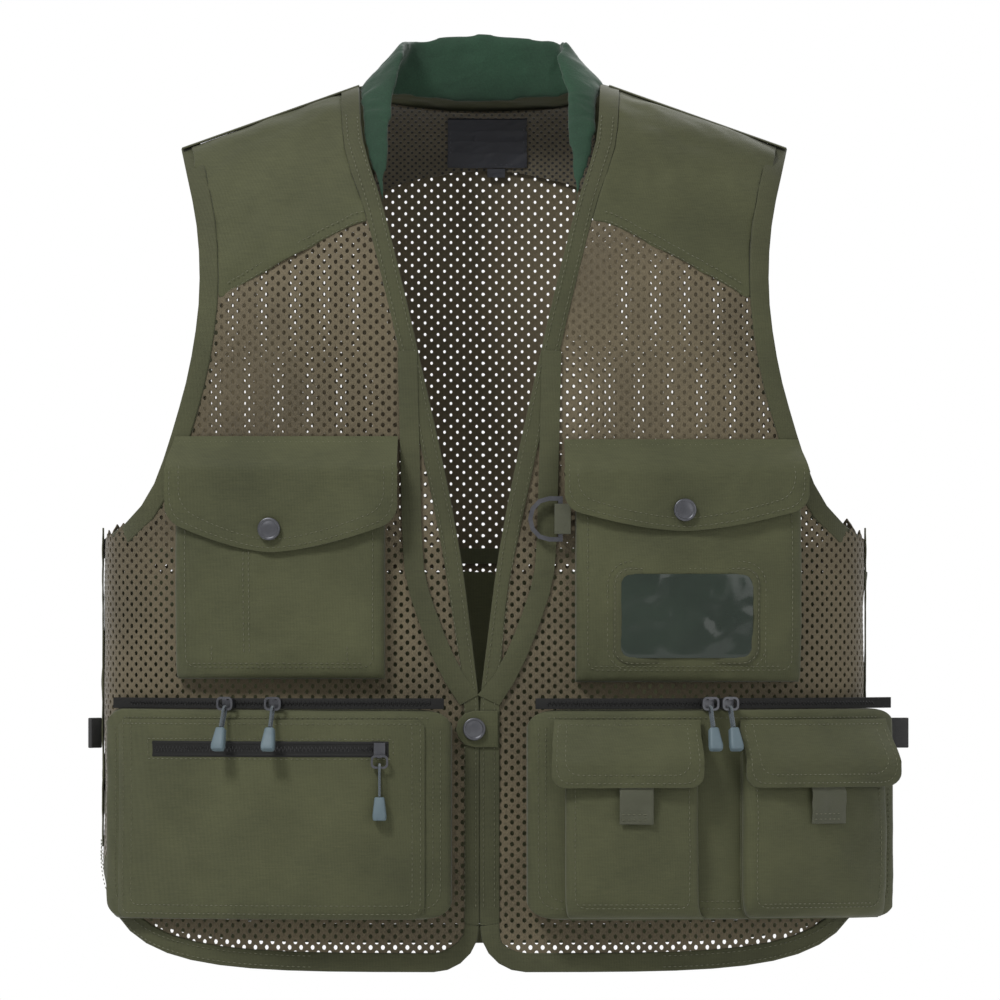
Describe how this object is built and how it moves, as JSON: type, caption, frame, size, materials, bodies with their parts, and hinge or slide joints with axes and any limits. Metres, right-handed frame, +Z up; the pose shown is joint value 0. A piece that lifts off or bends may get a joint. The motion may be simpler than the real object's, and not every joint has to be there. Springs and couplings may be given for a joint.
{
  "type": "fishing vest",
  "caption": "Sleeveless mesh vest with woven yokes, padded collar, snap-flap chest pockets and zipped cargo pockets with hanging pulls.",
  "frame": {"origin": "centre of the neckline between the wearer's shoulders, level with the top of the neck seam, where the vest hangs", "axes": "+Z up along the wearer's back, -Y the way the wearer faces, +X the wearer's left"},
  "size_m": [0.5464, 0.2199, 0.625],
  "materials": {
    "woven_olive": "plain woven polyester cotton, soft sheen",
    "binding_olive": "folded woven tape",
    "mesh_fabric": "open knitted mesh",
    "collar_green": "brushed padded fabric",
    "label_navy": "satin woven label",
    "webbing_black": "woven webbing",
    "pull_cord": "braided cord",
    "zip_black": "zip tape, coil and slider",
    "grip_rubber": "soft moulded rubber",
    "gunmetal": "dark plated metal",
    "window_film": "clear flexible film"
  },
  "bodies": {
    "vest": {"hem_binding": "binding_olive", "right_front_binding": "binding_olive", "right_armhole_binding": "binding_olive", "right_yoke": "woven_olive", "right_front_mesh": "mesh_fabric", "right_front_tape": "binding_olive", "left_front_binding": "binding_olive", "left_armhole_binding": "binding_olive", "left_yoke": "woven_olive", "left_front_mesh": "mesh_fabric", "left_front_tape": "binding_olive", "back_yoke": "woven_olive", "back_mesh_panel": "mesh_fabric", "back_lower_panel": "woven_olive", "back_waist_tape": "binding_olive", "back_neck_lining": "mesh_fabric", "neck_label": "label_navy", "size_tag": "label_navy", "collar": "collar_green", "right_chest_bag": "woven_olive", "right_chest_snap_stud": "gunmetal", "left_chest_bag": "woven_olive", "left_chest_snap_stud": "gunmetal", "left_chest_window": "window_film", "right_cargo_pocket": "woven_olive", "right_cargo_zip": "zip_black", "left_cargo_pocket": "woven_olive", "left_cargo_zip": "zip_black", "right_patch_pocket": "woven_olive", "right_patch_zip": "zip_black", "left_small_inner_bag": "woven_olive", "left_small_outer_bag": "woven_olive", "d_ring_loop": "woven_olive", "right_side_loop": "webbing_black", "left_side_loop": "webbing_black"},
    "right_chest_flap": {"right_chest_flap": "woven_olive", "right_chest_snap_cap": "gunmetal"},
    "left_chest_flap": {"left_chest_flap": "woven_olive", "left_chest_snap_cap": "gunmetal"},
    "left_small_inner_flap": {"left_small_inner_flap": "woven_olive"},
    "left_small_outer_flap": {"left_small_outer_flap": "woven_olive"},
    "front_tab": {"front_tab": "woven_olive", "front_tab_snap_cap": "gunmetal"},
    "d_ring": {"d_ring": "gunmetal"},
    "right_cargo_outer_slider": {"right_cargo_outer_slider": "zip_black"},
    "right_cargo_outer_pull": {"right_cargo_outer_pull_cord": "pull_cord", "right_cargo_outer_pull_grip": "grip_rubber"},
    "right_cargo_inner_slider": {"right_cargo_inner_slider": "zip_black"},
    "right_cargo_inner_pull": {"right_cargo_inner_pull_cord": "pull_cord", "right_cargo_inner_pull_grip": "grip_rubber"},
    "left_cargo_inner_slider": {"left_cargo_inner_slider": "zip_black"},
    "left_cargo_inner_pull": {"left_cargo_inner_pull_cord": "pull_cord", "left_cargo_inner_pull_grip": "grip_rubber"},
    "left_cargo_outer_slider": {"left_cargo_outer_slider": "zip_black"},
    "left_cargo_outer_pull": {"left_cargo_outer_pull_cord": "pull_cord", "left_cargo_outer_pull_grip": "grip_rubber"},
    "right_patch_slider": {"right_patch_slider": "zip_black"},
    "right_patch_pull": {"right_patch_pull_cord": "pull_cord", "right_patch_pull_grip": "grip_rubber"}
  },
  "joints": [
    {"name": "right_chest_flap_hinge", "type": "hinge", "parent": "vest", "child": "right_chest_flap", "pos_m": [-0.13171, -0.08096, -0.234], "axis": [-0.989, 0.1482, 0], "range_deg": [0, 115]},
    {"name": "left_chest_flap_hinge", "type": "hinge", "parent": "vest", "child": "left_chest_flap", "pos_m": [0.13134, -0.08104, -0.236], "axis": [-0.9887, -0.15, 0], "range_deg": [0, 115]},
    {"name": "left_small_inner_flap_hinge", "type": "hinge", "parent": "vest", "child": "left_small_inner_flap", "pos_m": [0.09411, -0.11653, -0.421], "axis": [-0.9961, -0.0882, 0], "range_deg": [0, 110]},
    {"name": "left_small_outer_flap_hinge", "type": "hinge", "parent": "vest", "child": "left_small_outer_flap", "pos_m": [0.22058, -0.07242, -0.421], "axis": [-0.8348, -0.5505, 0], "range_deg": [0, 110]},
    {"name": "front_tab_hinge", "type": "hinge", "parent": "vest", "child": "front_tab", "pos_m": [0.0092, -0.0886, -0.427], "axis": [0, 0, 1], "range_deg": [0, 100]},
    {"name": "d_ring_pivot", "type": "hinge", "parent": "vest", "child": "d_ring", "pos_m": [0.0505, -0.0932, -0.288], "axis": [0, 0, 1], "range_deg": [0, 80]},
    {"name": "right_cargo_outer_slider_travel", "type": "hinge", "parent": "vest", "child": "right_cargo_outer_slider", "pos_m": [-0.07, 0.14406, -0.41], "axis": [0, 0, 1], "range_deg": [-16.1, 0]},
    {"name": "right_cargo_outer_pull_swing", "type": "hinge", "parent": "right_cargo_outer_slider", "child": "right_cargo_outer_pull", "pos_m": [-0.17136, -0.10215, -0.4138], "axis": [-0.9247, 0.3807, 0], "range_deg": [0, 75]},
    {"name": "right_cargo_inner_slider_travel", "type": "hinge", "parent": "vest", "child": "right_cargo_inner_slider", "pos_m": [-0.07, 0.14406, -0.41], "axis": [0, 0, -1], "range_deg": [-21.3, 0]},
    {"name": "right_cargo_inner_pull_swing", "type": "hinge", "parent": "right_cargo_inner_slider", "child": "right_cargo_inner_pull", "pos_m": [-0.13962, -0.11294, -0.4138], "axis": [-0.9652, 0.2615, 0], "range_deg": [0, 75]},
    {"name": "left_cargo_inner_slider_travel", "type": "hinge", "parent": "vest", "child": "left_cargo_inner_slider", "pos_m": [0.07, 0.15593, -0.41], "axis": [0, 0, 1], "range_deg": [-22.5, 0]},
    {"name": "left_cargo_inner_pull_swing", "type": "hinge", "parent": "left_cargo_inner_slider", "child": "left_cargo_inner_pull", "pos_m": [0.14968, -0.11054, -0.4138], "axis": [-0.9581, -0.2865, 0], "range_deg": [0, 75]},
    {"name": "left_cargo_outer_slider_travel", "type": "hinge", "parent": "vest", "child": "left_cargo_outer_slider", "pos_m": [0.07, 0.15593, -0.41], "axis": [0, 0, -1], "range_deg": [-25.4, 0]},
    {"name": "left_cargo_outer_pull_swing", "type": "hinge", "parent": "left_cargo_outer_slider", "child": "left_cargo_outer_pull", "pos_m": [0.16277, -0.10627, -0.4138], "axis": [-0.9427, -0.3335, 0], "range_deg": [0, 75]},
    {"name": "right_patch_slider_travel", "type": "hinge", "parent": "vest", "child": "right_patch_slider", "pos_m": [-0.07, 0.14406, -0.44], "axis": [0, 0, 1], "range_deg": [-31.2, 0]},
    {"name": "right_patch_pull_swing", "type": "hinge", "parent": "right_patch_slider", "child": "right_patch_pull", "pos_m": [-0.06898, -0.1222, -0.45205], "axis": [-1, -0.0039, 0], "range_deg": [0, 90]}
  ]
}
